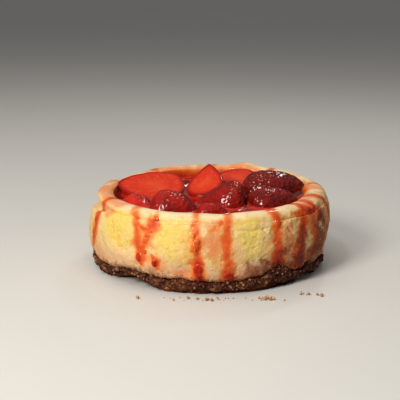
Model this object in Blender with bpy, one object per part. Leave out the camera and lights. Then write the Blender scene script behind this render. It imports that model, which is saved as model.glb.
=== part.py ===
"""A small baked cheesecake whose hollow top is filled with halved strawberries in their own sauce.

Units are metres and +Z is up. The origin is on the table under the middle of the cake, and -Y is its front.
A bearing is an angle round the cake in degrees: 0 at the front, 90 at the right (+X), 180 at the back.
"""

import math
from collections import namedtuple

import bmesh
import bpy
from mathutils import Euler, Matrix, Vector, noise

MM = 0.001

# The whole cake
RIM_HEIGHT = 37.3 * MM
LIP_RADIUS = 56.6 * MM
LIP_SHIFT = 2.0 * MM
BELLY_RADIUS = 60.4 * MM
FOOT_RADIUS = 56.6 * MM
FIT_GAP = 0.3 * MM
WALL_STEPS = 104

# The biscuit base
BASE_HEIGHT = 5.4 * MM
BASE_BOTTOM_RADIUS = 54.2 * MM

# The hollow top
RIM_WIDTH = 8.8 * MM
HOLLOW_FLOOR = 22.0 * MM

# The sauce in the hollow
SAUCE_LEVEL = 31.6 * MM
SAUCE_STEPS = 44

# The grid of points over one strawberry half
BERRY_RINGS = 9
SKIN_POINTS = 12
CUT_POINTS = 4

Run = namedtuple("Run", "path width thickness")
Berry = namedtuple("Berry", "name length width depth place aim bluntness")

# Sauce that ran down the wall: (bearing, height) along each run, then its width and thickness
RUNS = [
    Run([(-59, 37), (-65, 28), (-71, 19), (-69, 13)], 3.6 * MM, 0.5 * MM),
    Run([(-34, 37), (-32, 28), (-32, 20), (-31, 14)], 4.2 * MM, 0.6 * MM),
    Run([(-25, 33), (-28, 26), (-31, 20)], 4.6 * MM, 0.7 * MM),
    Run([(-4, 38), (-3, 30), (-5, 20), (-3, 7)], 4.4 * MM, 0.7 * MM),
    Run([(11, 38), (11, 25), (10, 5)], 5.4 * MM, 0.6 * MM),
    Run([(27, 38), (33, 31), (32, 24), (34, 12)], 4.6 * MM, 0.6 * MM),
    Run([(50, 38), (49, 31), (47, 22), (48, 10)], 5.0 * MM, 0.6 * MM),
    Run([(96, 37), (94, 27), (95, 17)], 4.4 * MM, 0.5 * MM),
    Run([(139, 38), (137, 26), (138, 9)], 4.8 * MM, 0.6 * MM),
    Run([(176, 38), (178, 28), (177, 21)], 4.0 * MM, 0.5 * MM),
    Run([(-146, 38), (-148, 24), (-147, 7)], 5.0 * MM, 0.6 * MM),
    Run([(-108, 37), (-110, 28), (-109, 16)], 4.2 * MM, 0.5 * MM),
]

# Strawberry halves: length, full width and depth of the half, then the middle of its cut face, all in mm.
# Then the heading of its tip, the tip's rise and the roll, in degrees, where a roll of 0 turns the cut face up.
# The last number is how blunt the tip is, from 0 to 1.
BERRIES = [
    Berry("strawberry_left", 33.7, 29, 12.0, (-28.7, 8.6, 36.5), (178, 2, -17), 0.75),
    Berry("strawberry_front_left", 22, 16, 9.5, (-33.5, -15.8, 27.0), (-64, 0, 180), 0.4),
    Berry("strawberry_front_middle", 24, 21, 12.5, (-16.1, -27.2, 28.5), (-10, 0, 180), 0.8),
    Berry("strawberry_front", 24.1, 24.6, 18.0, (4.5, -15.2, 27.2), (180, 16.6, 172), 0.0),
    Berry("strawberry_front_right", 27.5, 20.8, 9.5, (31.2, -14.2, 30.8), (23, 7.9, 180), 0.3),
    Berry("strawberry_right", 32.2, 24.1, 11.9, (32.9, 6.8, 32.7), (-3, 14.8, 198.5), 0.4),
    Berry("strawberry_peak", 26, 19.1, 9.4, (-1.1, 6.5, 40.0), (81.7, 24.1, -13.1), 0.0),
    Berry("strawberry_back", 23, 20, 10.0, (14.4, 33.4, 35.5), (176, 0, -15), 0.4),
    Berry("strawberry_back_left", 26, 20, 9.5, (-14.0, 31.8, 25.8), (22, 0, 180), 0.4),
    Berry("strawberry_front_low", 19, 11, 9.0, (2.6, -35.2, 28.0), (16, -4, 176), 0.5),
    Berry("strawberry_middle", 18, 12, 9.0, (11.5, 17.5, 26.5), (76, 0, 180), 0.3),
    Berry("strawberry_back_right", 21, 14, 8.5, (32.3, 23.5, 27.0), (138, 0, 180), 0.4),
]


def around(radius, bearing, height):
    """The point at a radius, a bearing in degrees and a height."""
    turn = math.radians(bearing)
    return Vector((radius * math.sin(turn), -radius * math.cos(turn), height))


def mound(bearing, centre, spread):
    """1 at a bearing, falling smoothly to 0 a few spreads away from it."""
    apart = (bearing - centre + 180) % 360 - 180
    return math.exp(-((apart / spread) ** 2))


def drift(bearing, waves, layer):
    """Smooth unevenness round the cake, about -1 to 1, with roughly that many waves in a turn."""
    return noise.noise(around(waves / 2.5, bearing, layer))


def rim_top(bearing):
    """The height of the rim's crest, which is lowest at the front left."""
    turn = math.radians(bearing)
    tilt = 0.3 * MM * math.sin(turn) - 1.1 * MM * math.cos(turn)
    peak = 1.5 * MM * mound(bearing, 157, 7) - 1.6 * MM * mound(bearing, -126, 20)
    return RIM_HEIGHT + tilt + peak + 0.5 * MM * drift(bearing, 9, 3.1)


def rim_width(bearing):
    uneven = 3.0 * mound(bearing, 84, 34) - 1.0 * mound(bearing, -78, 26) + 0.8 * drift(bearing, 6, 7.7)
    return RIM_WIDTH + uneven * MM


def lip_radius(bearing):
    """The outer radius of the rim, which sits a little to the right of the wall under it."""
    return LIP_RADIUS + LIP_SHIFT * math.sin(math.radians(bearing))


def crust_top(bearing):
    """The height at which the cheese meets the biscuit on the wall."""
    heaped = 4.6 * mound(bearing, 33, 8) + 2.2 * mound(bearing, -39, 14) + 1.4 * mound(bearing, -12, 7)
    heaped += 2.6 * mound(bearing, 56, 6) + 2.4 * mound(bearing, 128, 12) + 2.0 * mound(bearing, -140, 14)
    return BASE_HEIGHT + heaped * MM + 0.7 * MM * drift(bearing, 15, 1.3) + 0.6 * MM * drift(bearing, 44, 5.9)


def lip_drop(bearing):
    """How far under the crest the smooth lip ends in a crease."""
    return (4.0 + 1.2 * mound(bearing, 50, 30) + 6.0 * mound(bearing, -98, 33) + 0.9 * drift(bearing, 8, 2.2)) * MM


def ledge(bearing):
    """How far the wall stands out under the crease."""
    return 0.5 * MM + 2.3 * MM * mound(bearing, -88, 24) + 0.5 * MM * drift(bearing, 7, 9.4)


def path_at(path, height):
    """The bearing of a run at a height, and how far the height lies past the run's ends."""
    top, bottom = path[0][1] * MM, path[-1][1] * MM
    inside = min(max(height, bottom), top)
    for (upper_bearing, upper), (lower_bearing, lower) in zip(path, path[1:]):
        if inside >= lower * MM:
            share = (upper * MM - inside) / ((upper - lower) * MM)
            return upper_bearing + share * (lower_bearing - upper_bearing), abs(height - inside)
    return path[-1][0], abs(height - inside)


def sauce_relief(bearing, height):
    """How thick the sauce that ran down the wall lies here."""
    thick = 0.0
    for run in RUNS:
        centre, past = path_at(run.path, height)
        apart = math.radians((bearing - centre + 180) % 360 - 180) * BELLY_RADIUS
        thick = max(thick, run.thickness * math.exp(-((math.hypot(apart, past) / (run.width / 2)) ** 2)))
    return thick


def wall_relief(bearing, height, share):
    """Lumps of the baked wall, rougher towards the foot and round the right front."""
    spot = around(BELLY_RADIUS, bearing, height)
    broad = noise.noise(spot / (15 * MM)) * 1.0 * MM
    fine = noise.noise(spot / (6.5 * MM) + Vector((4, 2, 9))) * (0.35 + 0.5 * mound(bearing, 40, 28)) * MM
    return (broad + fine) * math.sin(math.pi * min(1, share + 0.15)) ** 0.5


def wall_points(bearing):
    """(radius, height) up the wall of the cheese, from its foot to the crease under the lip."""
    foot = crust_top(bearing) + FIT_GAP
    crease = rim_top(bearing) - lip_drop(bearing)
    points = [(FOOT_RADIUS - 1.6 * MM, foot)]
    for row in range(10):
        share = row / 9
        height = foot + (crease - foot) * (0.05 + 0.95 * share)
        radius = (
            (1 - share) ** 2 * FOOT_RADIUS
            + 2 * share * (1 - share) * (BELLY_RADIUS + 2.4 * MM * mound(bearing, 90, 40))
            + share**2 * (lip_radius(bearing) + ledge(bearing))
        )
        radius += wall_relief(bearing, height, share) + sauce_relief(bearing, height)
        points.append((radius, height))
    return points


def rim_points(bearing):
    """(radius, height) over the rim, from the lip's lower edge to the hollow's floor."""
    top = rim_top(bearing)
    drop = lip_drop(bearing)
    width = rim_width(bearing)
    arch = (4.2 + 1.3 * math.sin(math.radians(bearing))) * MM
    outer = lip_radius(bearing)
    middle = outer - width / 2
    points = [(outer - 0.5 * MM + 0.3 * MM * drift(bearing, 12, 6.6), top - drop + 0.5 * MM)]
    for angle in (8, 32, 55, 75, 92, 112, 135, 160):
        turn = math.radians(angle)
        side = math.copysign(abs(math.cos(turn)) ** 0.8, math.cos(turn))
        radius = middle + width / 2 * side
        height = top - arch + arch * math.sin(turn) ** 0.85
        points.append((radius + sauce_relief(bearing, height) * max(0, side), height))
    inner = outer - width
    points.append((inner - 0.2 * MM, HOLLOW_FLOOR + 6 * MM))
    points.append((inner - 0.8 * MM, HOLLOW_FLOOR + 2 * MM))
    points.append((inner - 3.0 * MM, HOLLOW_FLOOR))
    points.append((inner * 0.5, HOLLOW_FLOOR))
    return points


def lathe(name, profile_at, steps):
    """A closed body from a profile at each bearing, which starts and ends near the axis."""
    mesh = bmesh.new()
    columns = []
    for step in range(steps):
        bearing = step * 360 / steps
        columns.append([mesh.verts.new(around(r, bearing, z)) for r, z in profile_at(bearing)])
    start = mesh.verts.new((0, 0, columns[0][0].co.z))
    end = mesh.verts.new((0, 0, columns[0][-1].co.z))
    for step, column in enumerate(columns):
        following = columns[(step + 1) % steps]
        mesh.faces.new((start, following[0], column[0]))
        mesh.faces.new((end, column[-1], following[-1]))
        for row in range(len(column) - 1):
            mesh.faces.new((column[row], following[row], following[row + 1]))
            mesh.faces.new((column[row], following[row + 1], column[row + 1]))
    return finish(name, mesh)


def finish(name, mesh):
    """Turns a bmesh into a smooth-shaded object."""
    bmesh.ops.recalc_face_normals(mesh, faces=mesh.faces)
    data = bpy.data.meshes.new(name)
    mesh.to_mesh(data)
    mesh.free()
    data.shade_smooth()
    data.set_sharp_from_angle(angle=math.radians(50))
    part = bpy.data.objects.new(name, data)
    bpy.context.scene.collection.objects.link(part)
    return part


def coat(part, colour, roughness):
    """Gives an object its own material."""
    material = bpy.data.materials.new(part.name)
    material.use_nodes = True
    shader = material.node_tree.nodes["Principled BSDF"]
    shader.inputs["Base Color"].default_value = (*colour, 1)
    shader.inputs["Roughness"].default_value = roughness
    part.data.materials.append(material)
    return part


def cheese_profile(bearing):
    """(radius, height) of the cheese, from the hollow's floor over the rim, down the wall and in under it."""
    under = [(FOOT_RADIUS * 0.55, BASE_HEIGHT + FIT_GAP), (FOOT_RADIUS * 0.9, BASE_HEIGHT + FIT_GAP)]
    return (under + wall_points(bearing) + rim_points(bearing))[::-1]


def base_profile(bearing):
    """(radius, height) of the biscuit base, from under it, up its ragged side and in over its top."""
    chipped = mound(bearing, -42, 11) + 0.6 * mound(bearing, 55, 6) + 0.4 * mound(bearing, 150, 12)
    spot = around(FOOT_RADIUS, bearing, 0)
    crag = [noise.noise(spot / (3.4 * MM) + Vector((0, 0, layer))) * 0.9 * MM for layer in (1, 4, 7, 10)]
    top = crust_top(bearing)
    under = chipped * 5.6 * MM
    return [
        (BASE_BOTTOM_RADIUS * 0.5, 0),
        (BASE_BOTTOM_RADIUS - 1.2 * MM - chipped * 10.0 * MM, 0),
        (BASE_BOTTOM_RADIUS + crag[0] - chipped * 1.0 * MM, under + 0.5 * MM * (1 + crag[1] / MM)),
        (BASE_BOTTOM_RADIUS + 1.9 * MM + crag[1], under + (top - under) * 0.36),
        (FOOT_RADIUS + 0.2 * MM + crag[2], under + (top - under) * 0.68),
        (FOOT_RADIUS - 0.1 * MM + crag[3] * 0.6, top - 0.4 * MM),
        (FOOT_RADIUS - 1.6 * MM, top),
        (FOOT_RADIUS * 0.9, BASE_HEIGHT),
        (FOOT_RADIUS * 0.55, BASE_HEIGHT),
    ]


def sauce_profile(bearing):
    """(radius, height) of the sauce: a level pool whose edge keeps clear of the rim's inner wall."""
    clear = 0.6 * MM
    inner = lip_radius(bearing) - rim_width(bearing) - clear
    level = SAUCE_LEVEL + 0.3 * MM * drift(bearing, 5, 8.8)
    low = HOLLOW_FLOOR + FIT_GAP
    return [
        (inner * 0.5, low),
        (inner - 3.4 * MM, low),
        (inner - 0.9 * MM, HOLLOW_FLOOR + 2.2 * MM),
        (inner - 0.4 * MM, level - 0.2 * MM),
        (inner - 2.5 * MM, level - 0.6 * MM),
        (inner * 0.5, level - 0.5 * MM),
    ]


def berry_outline(share, bluntness):
    """Half the width of a strawberry at a share of its length, from the stalk end to the tip, at most 1."""
    widest = 0.34
    if share < widest:
        return (1 - ((widest - share) / widest) ** 2.4) ** 0.5
    return (1 - ((share - widest) / (1 - widest)) ** (1.5 + 0.7 * bluntness)) ** (0.84 - 0.3 * bluntness)


def berry_mesh(berry, grow=0.0):
    """A strawberry half, its flat cut face up, as a bmesh placed in the cake. The skin has pits where its seeds sit."""
    length, width, depth = ((size * MM) + 2 * grow for size in (berry.length, berry.width, berry.depth))
    mesh = bmesh.new()
    rings = []
    for ring in range(1, BERRY_RINGS):
        share = (1 - math.cos(math.pi * ring / BERRY_RINGS)) / 2
        scale = berry_outline(share, berry.bluntness)
        along = (share - 0.5) * length
        loop = []
        for point in range(SKIN_POINTS + 1):
            turn = math.pi * point / SKIN_POINTS
            pitted = (point + ring) % 2 == 0 and 0 < point < SKIN_POINTS
            reach = 1 - (0.045 if pitted and not grow else 0)
            skin = -depth * scale * math.sin(turn) * reach if 0 < point < SKIN_POINTS else grow
            loop.append((along, width / 2 * scale * math.cos(turn) * reach, skin))
        for point in range(1, CUT_POINTS):
            across = -1 + 2 * point / CUT_POINTS
            loop.append((along, width / 2 * scale * across, grow - 0.3 * MM * (1 - across**2)))
        rings.append([mesh.verts.new(p) for p in loop])
    stalk = mesh.verts.new((-length / 2, 0, -depth * 0.12))
    tip = mesh.verts.new((length / 2, 0, -depth * 0.12))
    count = len(rings[0])
    for point in range(count):
        beside = (point + 1) % count
        mesh.faces.new((stalk, rings[0][point], rings[0][beside]))
        mesh.faces.new((tip, rings[-1][beside], rings[-1][point]))
        for near, far in zip(rings, rings[1:]):
            mesh.faces.new((near[point], far[point], far[beside], near[beside]))
    heading, rise, roll = (math.radians(angle) for angle in berry.aim)
    turn = Euler((roll, -rise, heading)).to_matrix().to_4x4()
    mesh.transform(Matrix.Translation(Vector(berry.place) * MM) @ turn)
    return mesh


def make_base():
    return coat(lathe("biscuit_base", base_profile, WALL_STEPS), (0.17, 0.07, 0.025), 0.9)


def make_cheese():
    return coat(lathe("cheese", cheese_profile, WALL_STEPS), (0.86, 0.62, 0.24), 0.5)


def make_berries():
    return [coat(finish(berry.name, berry_mesh(berry)), (0.42, 0.012, 0.008), 0.2) for berry in BERRIES]


def make_sauce():
    """The pool of sauce, with a bed for each strawberry cut out of it."""
    sauce = lathe("strawberry_sauce", sauce_profile, SAUCE_STEPS)
    beds = bpy.data.collections.new("berry_beds")
    for berry in BERRIES:
        bed = finish(berry.name + "_bed", berry_mesh(berry, grow=FIT_GAP))
        bpy.context.scene.collection.objects.unlink(bed)
        beds.objects.link(bed)
    cut = sauce.modifiers.new("beds", "BOOLEAN")
    cut.operation = "DIFFERENCE"
    cut.operand_type = "COLLECTION"
    cut.collection = beds
    applied = bpy.data.meshes.new_from_object(sauce.evaluated_get(bpy.context.evaluated_depsgraph_get()))
    sauce.modifiers.clear()
    sauce.data = applied
    for bed in list(beds.objects):
        bpy.data.objects.remove(bed)
    bpy.data.collections.remove(beds)
    return coat(sauce, (0.4, 0.01, 0.006), 0.08)


def main():
    for old in list(bpy.data.objects):
        bpy.data.objects.remove(old)
    make_base()
    make_cheese()
    make_berries()
    make_sauce()


main()
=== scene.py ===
"""Looks of a small baked cheesecake: biscuit base, baked cheese, strawberry halves and sauce that ran down its side.

Metres, +Z up, -Y is the front. A bearing is an angle round the cake in degrees: 0 at the front, 90 at the right (+X).
"""

import math
from collections import namedtuple

import bmesh
import bpy
import numpy as np
from mathutils import Euler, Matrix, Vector, noise
from mathutils.bvhtree import BVHTree


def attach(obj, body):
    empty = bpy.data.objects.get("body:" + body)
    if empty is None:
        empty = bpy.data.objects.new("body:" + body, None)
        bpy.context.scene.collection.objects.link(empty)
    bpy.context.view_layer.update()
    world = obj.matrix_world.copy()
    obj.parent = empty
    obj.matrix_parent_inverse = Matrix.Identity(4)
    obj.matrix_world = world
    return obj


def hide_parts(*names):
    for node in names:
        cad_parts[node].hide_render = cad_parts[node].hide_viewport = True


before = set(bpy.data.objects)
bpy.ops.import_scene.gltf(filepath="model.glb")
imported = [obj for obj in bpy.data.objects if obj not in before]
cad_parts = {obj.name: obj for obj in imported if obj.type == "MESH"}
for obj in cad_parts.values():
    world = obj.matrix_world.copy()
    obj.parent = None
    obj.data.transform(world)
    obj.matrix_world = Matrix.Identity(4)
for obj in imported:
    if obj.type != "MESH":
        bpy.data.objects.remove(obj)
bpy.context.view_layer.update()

# THE BISCUIT BASE
# Crushed biscuit and butter, pressed into the bottom of a ring and baked. Its side is broken crumb, ragged and
# chipped, and the cheese above meets it in a wavy line. It stands in for the plain base of the solid model.

MM = 0.001
BASE_HEIGHT = 5.4 * MM
BASE_BOTTOM_RADIUS = 54.2 * MM
FOOT_RADIUS = 56.6 * MM
BASE_STEPS = 720
CRUMB_DARK = (0.040, 0.012, 0.006)
CRUMB_BROWN = (0.140, 0.034, 0.012)
CRUMB_TAN = (0.360, 0.170, 0.080)
CRUMB_SOAKED_SHADED = (0.075, 0.006, 0.003)


def around(radius, bearing, height):
    """The point at a radius, a bearing in degrees and a height."""
    turn = math.radians(bearing)
    return Vector((radius * math.sin(turn), -radius * math.cos(turn), height))


def mound(bearing, centre, spread):
    """1 at a bearing, falling smoothly to 0 a few spreads away from it."""
    apart = (bearing - centre + 180) % 360 - 180
    return np.exp(-((apart / spread) ** 2))


def drift(bearing, waves, layer):
    """Smooth unevenness round the cake, about -1 to 1, with roughly that many waves in a turn."""
    return noise.noise(around(waves / 2.5, bearing, layer))


def lumps(points, size, seed):
    """Smooth random values from -1 to 1 at an array of points, with lumps about that size."""
    lattice = np.random.default_rng(seed).uniform(-1, 1, (32, 32, 32))
    spots = np.asarray(points) @ np.array(Euler((0.6, 0.9, 0.4)).to_matrix()) / size
    cells = np.floor(spots).astype(int)
    near = spots - cells
    near = near * near * (3 - 2 * near)
    total = np.zeros(spots.shape[:-1])
    for corner in np.ndindex(2, 2, 2):
        weight = np.prod(np.where(np.array(corner) == 1, near, 1 - near), axis=-1)
        spot = (cells + corner) % 32
        total += weight * lattice[spot[..., 0], spot[..., 1], spot[..., 2]]
    return total


def crust_top(bearing):
    """The height at which the cheese meets the biscuit on the wall."""
    heaped = 4.6 * mound(bearing, 33, 8) + 2.2 * mound(bearing, -39, 14) + 1.4 * mound(bearing, -12, 7)
    heaped += 2.6 * mound(bearing, 56, 6) + 2.4 * mound(bearing, 128, 12) + 2.0 * mound(bearing, -140, 14)
    return BASE_HEIGHT + heaped * MM + 0.7 * MM * drift(bearing, 15, 1.3) + 0.6 * MM * drift(bearing, 44, 5.9)


def base_profile(bearing):
    """(radius, height) of the biscuit base, from under it, up its ragged side and in over its top."""
    chipped = mound(bearing, -42, 11) + 0.6 * mound(bearing, 55, 6) + 0.4 * mound(bearing, 150, 12)
    spot = around(FOOT_RADIUS, bearing, 0)
    crag = [noise.noise(spot / (3.4 * MM) + Vector((0, 0, layer))) * 0.9 * MM for layer in (1, 4, 7, 10)]
    top = crust_top(bearing)
    under = chipped * 5.6 * MM
    return [
        (BASE_BOTTOM_RADIUS * 0.5, 0),
        (BASE_BOTTOM_RADIUS - 1.2 * MM - chipped * 10.0 * MM, 0),
        (BASE_BOTTOM_RADIUS + crag[0] - chipped * 1.0 * MM, under + 0.5 * MM * (1 + crag[1] / MM)),
        (BASE_BOTTOM_RADIUS + 1.9 * MM + crag[1], under + (top - under) * 0.36),
        (FOOT_RADIUS + 0.2 * MM + crag[2], under + (top - under) * 0.68),
        (FOOT_RADIUS - 0.1 * MM + crag[3] * 0.6, top - 0.4 * MM),
        (FOOT_RADIUS - 1.6 * MM, top),
        (FOOT_RADIUS * 0.9, BASE_HEIGHT),
    ]


def smooth_line(points, steps):
    """A smooth line through (radius, height) points, with a number of steps for each stretch between two of them."""
    points = np.array(points)
    padded = np.vstack([2 * points[0] - points[1], points, 2 * points[-1] - points[-2]])
    line = []
    for stretch, count in enumerate(steps):
        before, start, end, after = padded[stretch : stretch + 4]
        for t in np.arange(count) / count:
            line.append(
                0.5
                * (
                    2 * start
                    + (end - before) * t
                    + (2 * before - 5 * start + 4 * end - after) * t**2
                    + (3 * start - before - 3 * end + after) * t**3
                )
            )
    line.append(points[-1])
    return np.array(line)


def lathe_grid(profile_at, steps, count):
    """Points of a body round the Z axis, as an array of profile points by bearings by 3, and the bearings."""
    bearings = np.arange(count) * 360 / count
    profiles = np.array([smooth_line(profile_at(bearing), steps) for bearing in bearings])
    turns = np.radians(bearings)[:, None]
    x = profiles[..., 0] * np.sin(turns)
    y = -profiles[..., 0] * np.cos(turns)
    return np.stack([x, y, profiles[..., 1]], axis=-1).transpose(1, 0, 2), bearings


def closed_body(name, grid):
    """A closed, smooth-shaded piece from rings of points, with each end ring closed by a point in its middle."""
    rows, count = grid.shape[:2]
    points = np.vstack([grid.reshape(-1, 3), grid[0].mean(axis=0), grid[-1].mean(axis=0)])
    index = np.arange(rows * count).reshape(rows, count)
    beside = np.roll(index, -1, axis=1)
    quads = np.stack([index[:-1], beside[:-1], beside[1:], index[1:]], axis=-1).reshape(-1, 4)
    fans = [(rows * count, b, a) for a, b in zip(index[0], beside[0])]
    fans += [(rows * count + 1, a, b) for a, b in zip(index[-1], beside[-1])]
    data = bpy.data.meshes.new(name)
    data.from_pydata(points.tolist(), [], quads.tolist() + fans)
    mesh = bmesh.new()
    mesh.from_mesh(data)
    bmesh.ops.recalc_face_normals(mesh, faces=mesh.faces)
    mesh.to_mesh(data)
    mesh.free()
    data.shade_smooth()
    piece = bpy.data.objects.new(name, data)
    bpy.context.scene.collection.objects.link(piece)
    return piece


def push_out(grid, amount):
    """The grid's points moved along its own surface normals by an amount in metres at each point."""
    across = np.roll(grid, -1, axis=1) - np.roll(grid, 1, axis=1)
    along = np.gradient(grid, axis=0)
    normals = np.cross(across, along)
    normals /= np.linalg.norm(normals, axis=-1, keepdims=True) + 1e-12
    return grid + normals * amount[..., None]


def tell(piece, name, values):
    """Stores a number at each vertex of a piece for its material. The two end points repeat their neighbours'."""
    values = np.asarray(values, dtype=float)
    flat = np.concatenate([values.ravel(), [values[0, 0], values[-1, 0]]])
    piece.data.attributes.new(name, "FLOAT", "POINT").data.foreach_set("value", flat)


class Link:
    """One output socket of a node. Sums on links add Math nodes."""

    def __init__(self, socket):
        self.socket = socket

    def node(self, kind, settings, inputs, output=0):
        """A new node in the same tree: first its settings, then the values or links of its sockets."""
        tree = self.socket.node.id_data
        made = tree.nodes.new(kind)
        for name, value in settings.items():
            if name == "stops":
                for stop in value[2:]:
                    made.color_ramp.elements.new(stop[0])
                for element, stop in zip(made.color_ramp.elements, value):
                    element.position = stop[0]
                    element.color = (*stop[1], 1)
            else:
                setattr(made, name, value)
        for key, value in inputs.items():
            if isinstance(value, Link):
                tree.links.new(value.socket, made.inputs[key])
            elif made.inputs[key].type == "RGBA":
                made.inputs[key].default_value = (*value[:3], 1)
            else:
                made.inputs[key].default_value = value
        return Link(made.outputs[output])

    def sum(self, operation, *others):
        return self.node("ShaderNodeMath", {"operation": operation}, dict(enumerate((self, *others))))

    def __add__(self, other):
        return self.sum("ADD", other)

    def __sub__(self, other):
        return self.sum("SUBTRACT", other)

    def __mul__(self, other):
        return self.sum("MULTIPLY", other)

    def __rsub__(self, other):
        return self.node("ShaderNodeMath", {"operation": "SUBTRACT"}, {0: other, 1: self})

    __radd__ = __add__
    __rmul__ = __mul__

    def step(self, low, high):
        """0 below low, 1 above high, smooth between them. The other way round if high is below low."""
        limits = {"Value": self, "From Min": low, "From Max": high}
        return self.node("ShaderNodeMapRange", {"interpolation_type": "SMOOTHSTEP"}, limits)

    def mix(self, first, second):
        """The first colour where this link is 0 and the second where it is 1."""
        return self.node("ShaderNodeMix", {"data_type": "RGBA"}, {0: self, 6: first, 7: second}, 2)

    def ramp(self, stops):
        """A colour for each value, from (value, colour) stops."""
        return self.node("ShaderNodeValToRGB", {"stops": stops}, {"Fac": self})

    def grain(self, size, detail=2.0, roughness=0.5):
        """Noise from about 0.25 to 0.75 on these coordinates, with lumps about that size."""
        inputs = {"Vector": self, "Scale": 1 / size, "Detail": detail, "Roughness": roughness}
        return self.node("ShaderNodeTexNoise", {}, inputs)

    def cells(self, size, output="Distance"):
        """Voronoi cells of about that size on these coordinates."""
        return self.node("ShaderNodeTexVoronoi", {}, {"Vector": self, "Scale": 1 / size, "Randomness": 1.0}, output)

    def told(self, name, output="Fac"):
        """The number that the piece stores under a name."""
        return self.node("ShaderNodeAttribute", {"attribute_name": name}, {}, output)

    def bump(self, depth):
        """A normal from this height, where 1 stands that many metres proud."""
        return self.node("ShaderNodeBump", {}, {"Height": self, "Distance": depth, "Strength": 1.0})


def new_material(name, **fixed):
    """A material with constants on the shader's own sockets. Returns it, its coordinates and a way to feed it."""
    material = bpy.data.materials.new(name)
    material.use_nodes = True
    tree = material.node_tree
    shader = tree.nodes["Principled BSDF"]
    for socket, value in fixed.items():
        shader.inputs[socket.replace("_", " ").title().replace("Ior", "IOR")].default_value = value
    place = Link(tree.nodes.new("ShaderNodeTexCoord").outputs["Object"])

    def feed(**links):
        for socket, link in links.items():
            tree.links.new(link.socket, shader.inputs[socket.replace("_", " ").title()])

    return material, place, feed


grid, bearings = lathe_grid(base_profile, (2, 3, 6, 8, 8, 5, 3), BASE_STEPS)
side = np.clip((np.hypot(grid[..., 0], grid[..., 1]) - 44 * MM) / (8 * MM), 0, 1)
layers = lumps(grid * [1, 1, 3.2], 4 * MM, 14)
crumbly = 0.5 * lumps(grid, 2.6 * MM, 11) + 0.4 * lumps(grid, 1.3 * MM, 12)
crumbly = crumbly + 0.25 * lumps(grid, 0.7 * MM, 13) + 0.45 * layers
grid = push_out(grid, crumbly * side * MM)
grid[..., 2] = np.maximum(grid[..., 2], 0)
base = closed_body("biscuit_base_crumb", grid)
tops = np.array([crust_top(bearing) for bearing in bearings])
tell(base, "under_top", np.clip((tops - grid[..., 2]) / (2.2 * MM), 0, 1))
# Dark red soak of sauce at the foot of each run, and a broad patch round the right that is partly sauce and partly
# painted shade of that shaded side.
soaked = 0.75 * mound(bearings, 50, 24)
for bearing, strength in ((-30, 0.5), (-4, 0.9), (9, 1.0), (34, 0.9), (48, 1.0), (95, 0.5), (138, 0.8), (-147, 0.8)):
    soaked = np.maximum(soaked, strength * mound(bearings, bearing, 6))
tell(base, "soaked", soaked + 0 * grid[..., 2])

material, place, feed = new_material("biscuit_crumb", specular_ior_level=0.15)
cell = place.cells(1.2 * MM, "Color")
tone = cell.node("ShaderNodeSeparateColor", {}, {"Color": cell})
wide = place.grain(7 * MM, 3)
flat = place.node("ShaderNodeVectorMath", {"operation": "MULTIPLY"}, {0: place, 1: (1, 1, 4)})
shade = tone * 0.55 + wide * 0.35 + flat.grain(4 * MM, 3, 0.6) * 0.5
shade = shade + (place.told("under_top").step(0.0, 0.7) - 1) * 0.3 - 0.1
# Painted shade: the crumb is darker in the last 2 mm above the table, under the base's undercut edge.
upward = Link(place.node("ShaderNodeSeparateXYZ", {}, {"Vector": place}).socket.node.outputs["Z"])
shade = shade - upward.step(2.0 * MM, 0.2 * MM) * 0.25 + 0.06
colour = shade.ramp([(0.2, CRUMB_DARK), (0.5, CRUMB_BROWN), (0.8, (0.20, 0.068, 0.028)), (0.95, CRUMB_TAN)])
# Dark red where sauce soaks the crumb; round the right it is also painted shade.
red = (place.told("soaked") + (wide - 0.5) * 0.8).step(0.25, 0.8)
colour = (red * 0.85).mix(colour, CRUMB_SOAKED_SHADED)
grit = (1 - place.cells(1.2 * MM)) * 0.7 + place.grain(0.5 * MM, 2) * 0.5
feed(
    base_color=colour,
    roughness=place.grain(2 * MM) * 0.3 + 0.65 - red * 0.4,
    coat_weight=red * 0.4,
    normal=grit.bump(0.5 * MM),
)
base.data.materials.append(material)
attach(base, "root")
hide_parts("biscuit_base")

# THE BAKED CHEESE
# Cream cheese batter baked in the ring: a smooth pale lip, a creased and lumpy wall that kept the lining's marks, and
# a hollow top. The sauce has seeped into its rim and run down the wall, thin and orange, thick and red where it
# gathers.
# Round the right its red-brown soak and staining are laid on darker as painted shade.

RIM_HEIGHT = 37.3 * MM
LIP_RADIUS = 56.6 * MM
LIP_SHIFT = 2.0 * MM
BELLY_RADIUS = 60.4 * MM
RIM_WIDTH = 8.8 * MM
HOLLOW_FLOOR = 22.0 * MM
CHEESE_STEPS = 740
WALL_ROWS = 7
RIM_ROWS = 5
CREST_ROW = 4 + 10 * WALL_ROWS + 5 * RIM_ROWS
FILM_RADIUS = 58
BEAD_RADIUS = 59
CHEESE_YELLOW = (0.85, 0.62, 0.130)
CHEESE_CREAM = (0.88, 0.62, 0.28)
CHEESE_PALE = (0.90, 0.74, 0.45)
CHEESE_PINK = (0.78, 0.46, 0.25)
CHEESE_BROWNED = (0.72, 0.30, 0.05)
FILM_TINTS = [
    (0.0, (0.90, 0.46, 0.14)),
    (0.28, (0.86, 0.24, 0.040)),
    (0.48, (0.78, 0.110, 0.014)),
    (0.72, (0.55, 0.028, 0.006)),
    (1.0, (0.13, 0.004, 0.002)),
]

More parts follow.
